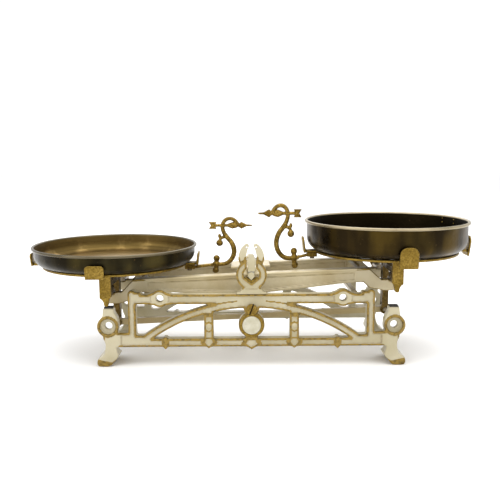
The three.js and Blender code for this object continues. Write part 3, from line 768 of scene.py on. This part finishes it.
def tube(name, line):
    curve = bpy.data.curves.new(name, "CURVE")
    curve.dimensions = "3D"
    curve.bevel_depth = 1.13 * mm
    curve.bevel_resolution = 5
    curve.resolution_u = 8
    curve.use_fill_caps = True
    spline = curve.splines.new("BEZIER")
    spline.bezier_points.add(len(line) - 1)
    for point, (x, z, half) in zip(spline.bezier_points, line):
        point.co = (x * mm, 0, z * mm)
        point.radius = half
        point.handle_left_type = "AUTO"
        point.handle_right_type = "AUTO"
    piece = bpy.data.objects.new(name, curve)
    scene.collection.objects.link(piece)
    makeActive(piece)
    bpy.ops.object.convert(target="MESH")
    return bpy.context.view_layer.objects.active


def ball(x, z, size):
    bpy.ops.object.select_all(action="DESELECT")
    bpy.ops.mesh.primitive_uv_sphere_add(segments=24, ring_count=14, radius=mm,
                                         location=(x * mm, 0, z * mm))
    piece = bpy.context.view_layer.objects.active
    piece.scale = size
    applyPlace(piece)
    return piece


# A turned spindle along X: from each x to the next, with the given half heights and half depths.
def spindle(stations, z):
    bpy.ops.object.select_all(action="DESELECT")
    x, up, deep = stations[0]
    bpy.ops.mesh.primitive_circle_add(vertices=pointerLook["sides"], radius=mm, fill_type="NGON",
                                      location=(x * mm, 0, z * mm), rotation=(0, math.pi / 2, 0))
    piece = bpy.context.view_layer.objects.active
    piece.scale = (up, deep, 1)
    applyPlace(piece)
    bpy.ops.object.mode_set(mode="EDIT")
    bpy.ops.mesh.select_all(action="SELECT")
    for (x, up, deep), (nextX, nextUp, nextDeep) in zip(stations, stations[1:]):
        bpy.ops.mesh.extrude_edges_move(TRANSFORM_OT_translate={"value": ((nextX - x) * mm, 0, 0)})
        bpy.ops.transform.resize(value=(1, nextDeep / deep, nextUp / up),
                                 center_override=(nextX * mm, 0, z * mm))
    bpy.ops.mesh.edge_face_add()
    bpy.ops.mesh.select_all(action="SELECT")
    bpy.ops.mesh.normals_make_consistent(inside=False)
    bpy.ops.object.mode_set(mode="OBJECT")
    return piece


def block(name, low, high, bevel):
    bpy.ops.object.select_all(action="DESELECT")
    middle = [(a + b) / 2 * mm for a, b in zip(low, high)]
    bpy.ops.mesh.primitive_cube_add(size=mm, location=middle)
    piece = bpy.context.view_layer.objects.active
    piece.name = name
    piece.scale = [b - a for a, b in zip(low, high)]
    applyPlace(piece)
    applyModifier(piece, "BEVEL", width=bevel * mm, segments=2)
    return piece


# Arrow feathers: a plate with a notch behind and three ribs across it.
def feathers(z):
    look = featherLook
    near, far = look["x"]
    deep, tall, overlap = look["deep"], look["tall"], look["overlap"]
    parts = [block("upper", (near, -deep, z - overlap), (far, deep, z + tall), look["bevel"]),
             block("lower", (near, -deep, z - tall), (far, deep, z + overlap), look["bevel"])]
    for vertex in (vertex for part in parts for vertex in part.data.vertices):
        x, height = vertex.co.x / mm, abs(vertex.co.z / mm - z)
        slant = look["notch"] if x > look["slantSplit"] else look["tip"]
        vertex.co.x += (height - look["slantFrom"]) * slant * mm
    wide, deep, tall = look["ribSize"]
    for x in look["ribs"]:
        rib = block("rib", (x - wide, -deep, z - tall), (x + wide, deep, z + tall), look["ribBevel"])
        parts.append(rib)
    return parts


def pointerPiece(side, sign):
    z = pointerLook["arrowZ"]
    parts = [tube("neck", neckLine), tube("branch", branchLine)] + feathers(z)
    parts.append(spindle(arrowLine, z))
    parts += [ball(*knob) for knob in knobs]
    piece = mergeInto(parts, side + "Pointer")
    # each pointer sits a little off to the right, and its foot is bent to meet the seat
    hand = pointerLook[side]
    for vertex in piece.data.vertices:
        vertex.co.z += hand["bend"] * (mm - vertex.co.z / z)
        vertex.co.x += hand["shift"] * mm
    start, end = pointerLook["barStart"] + hand["shift"], pointerLook["barEnd"]
    base = spindle([(start + x, up, deep) for x, up, deep in barTip] + barRoot, 0)
    for vertex in base.data.vertices:
        vertex.co.z += hand["bend"] * mm * max(0, (end - vertex.co.x / mm) / (end - start))
    seat = block("seat", seatLook["low"], seatLook["high"], seatLook["bevel"])
    piece = mergeInto([piece, base, seat], side + "Pointer")
    remeshCast(piece, pointerLook["voxel"], pointerLook["rounds"])
    edge = jointAt[side + "_carrier_level"]
    move = Matrix.Translation((edge.x - sign * pointerLook["arm"], 0, edge.z + pointerLook["rise"]))
    if sign < 0:
        piece.data.transform(Matrix.Scale(-1, 4, (1, 0, 0)))
        piece.data.flip_normals()
    piece.data.transform(move)
    finishPiece(piece, bronzeCast, side + "_carrier", "dark_bronze", side + "_pointer")


for side, sign in (("left", -1), ("right", 1)):
    pointerPiece(side, sign)
print("pointers cast")


# Small CAD parts: softened edges and better metal

dressLook = {"weld": 0.01 * mm, "segments": 2, "angle": math.radians(35), "steelBevel": 0.2}
hands = ("left", "right")
ends = ("front", "rear")
carrierParts = ("yoke", "stem", "load_bearing_front", "load_bearing_rear")
# material, bevel width in mm, and the nodes
fittings = {
    "iron": (iron, 0.5, ["knife_keeper_front", "centre_knife_front", "centre_knife_rear"]),
    # the ties and stay take the darker copy of the cream paint, a painted shade
    "inner": (shadedInnerIron, 0.5, ["frame_tie_left", "frame_tie_right", "stay"]),
    "screw": (slottedBrass, 0.35, ["tie_screw_front", "tie_screw_rear"]),
    "gold": (goldCast, 0.35, ["medallion_rim_front", "medallion_rim_rear", "fulcrum_bearing_front",
                              "fulcrum_bearing_rear"]
             + [f"{side}_leg_{end}" for side in hands for end in ends]),
    # the carrier parts under the crosses take the darker cast, a painted shade
    "bronze": (shadedCast, 0.4, [f"{side}_{part}" for side in hands for part in carrierParts]),
    "leather": (leather, 0.4, [f"stop_pad_{side}_{end}" for side in hands for end in ends]),
    "enamel": (enamel, 0.2, ["medallion_disc_front", "medallion_disc_rear"]),
}


def dress(node, material, bevel):
    piece = frame["nodes"][node]
    piece.data.materials.clear()
    piece.data.materials.append(material)
    weld = piece.modifiers.new("weld", "WELD")
    weld.merge_threshold = dressLook["weld"]
    edges = piece.modifiers.new("edges", "BEVEL")
    edges.width = bevel * mm
    edges.segments = dressLook["segments"]
    edges.limit_method = "ANGLE"
    edges.angle_limit = dressLook["angle"]
    edges.harden_normals = False
    piece.modifiers.new("shading", "WEIGHTED_NORMAL").keep_sharp = False


dressed = set()
for material, bevel, members in fittings.values():
    for node in members:
        dress(node, material, bevel)
        dressed.add(node)
replaced = {node for piece in bpy.data.objects for node in piece.get("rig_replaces", [])}
for node in frame["nodes"]:
    if node not in dressed and node not in replaced:
        dress(node, steel, dressLook["steelBevel"])
print("fittings dressed")


# Studio

studioLook = {
    "floor": (0.96, 0.955, 0.945), "floorSize": 14, "floorRough": 0.9,
    "world": (1.0, 1.0, 1.0), "worldStrength": 1.06,
    # each lamp's place, size and power
    "lamps": {"overhead": ((0.1, -0.2, 1.6), 1.6, 18), "left": ((-1.3, -0.9, 0.9), 0.9, 7),
              "right": ((1.2, -1.0, 1.1), 0.9, 4), "back": ((0.0, 1.4, 1.2), 1.2, 7)},
    "lampAim": (0, 0, 0.1),
    "camera": (-12.0 * mm, -1006.2 * mm, 300.6 * mm), "cameraTurn": (81.5, 0.2, -0.66),
    "lens": 49.44, "sensor": 36, "clip": 0.01}


def studio():
    look = studioLook
    bpy.ops.object.select_all(action="DESELECT")
    bpy.ops.mesh.primitive_plane_add(size=look["floorSize"], location=(0, 0, 0))
    floor = bpy.context.view_layer.objects.active
    floor.name = "studioFloor"
    material, tree, shader = newMaterial("paperFloor")
    feed(tree, shader.inputs["Base Color"], look["floor"])
    shader.inputs["Roughness"].default_value = look["floorRough"]
    floor.data.materials.append(material)
    world = bpy.data.worlds.new("studioWorld")
    world.use_nodes = True
    background = world.node_tree.nodes["Background"]
    background.inputs["Color"].default_value = (*look["world"], 1)
    background.inputs["Strength"].default_value = look["worldStrength"]
    scene.world = world
    aim = Vector(look["lampAim"])
    for name, (spot, size, power) in look["lamps"].items():
        light = bpy.data.lights.new(name, "AREA")
        light.size = size
        light.energy = power
        lamp = bpy.data.objects.new(name, light)
        lamp.location = spot
        lamp.rotation_euler = (aim - Vector(spot)).to_track_quat("-Z", "Y").to_euler()
        scene.collection.objects.link(lamp)
    camera = bpy.data.objects.new("camera", bpy.data.cameras.new("camera"))
    camera.location = look["camera"]
    camera.rotation_euler = [math.radians(angle) for angle in look["cameraTurn"]]
    camera.data.lens = look["lens"]
    camera.data.sensor_width = look["sensor"]
    camera.data.clip_start = look["clip"]
    scene.collection.objects.link(camera)
    scene.camera = camera
    scene.view_settings.view_transform = "Standard"

studio()
print("scene ready")
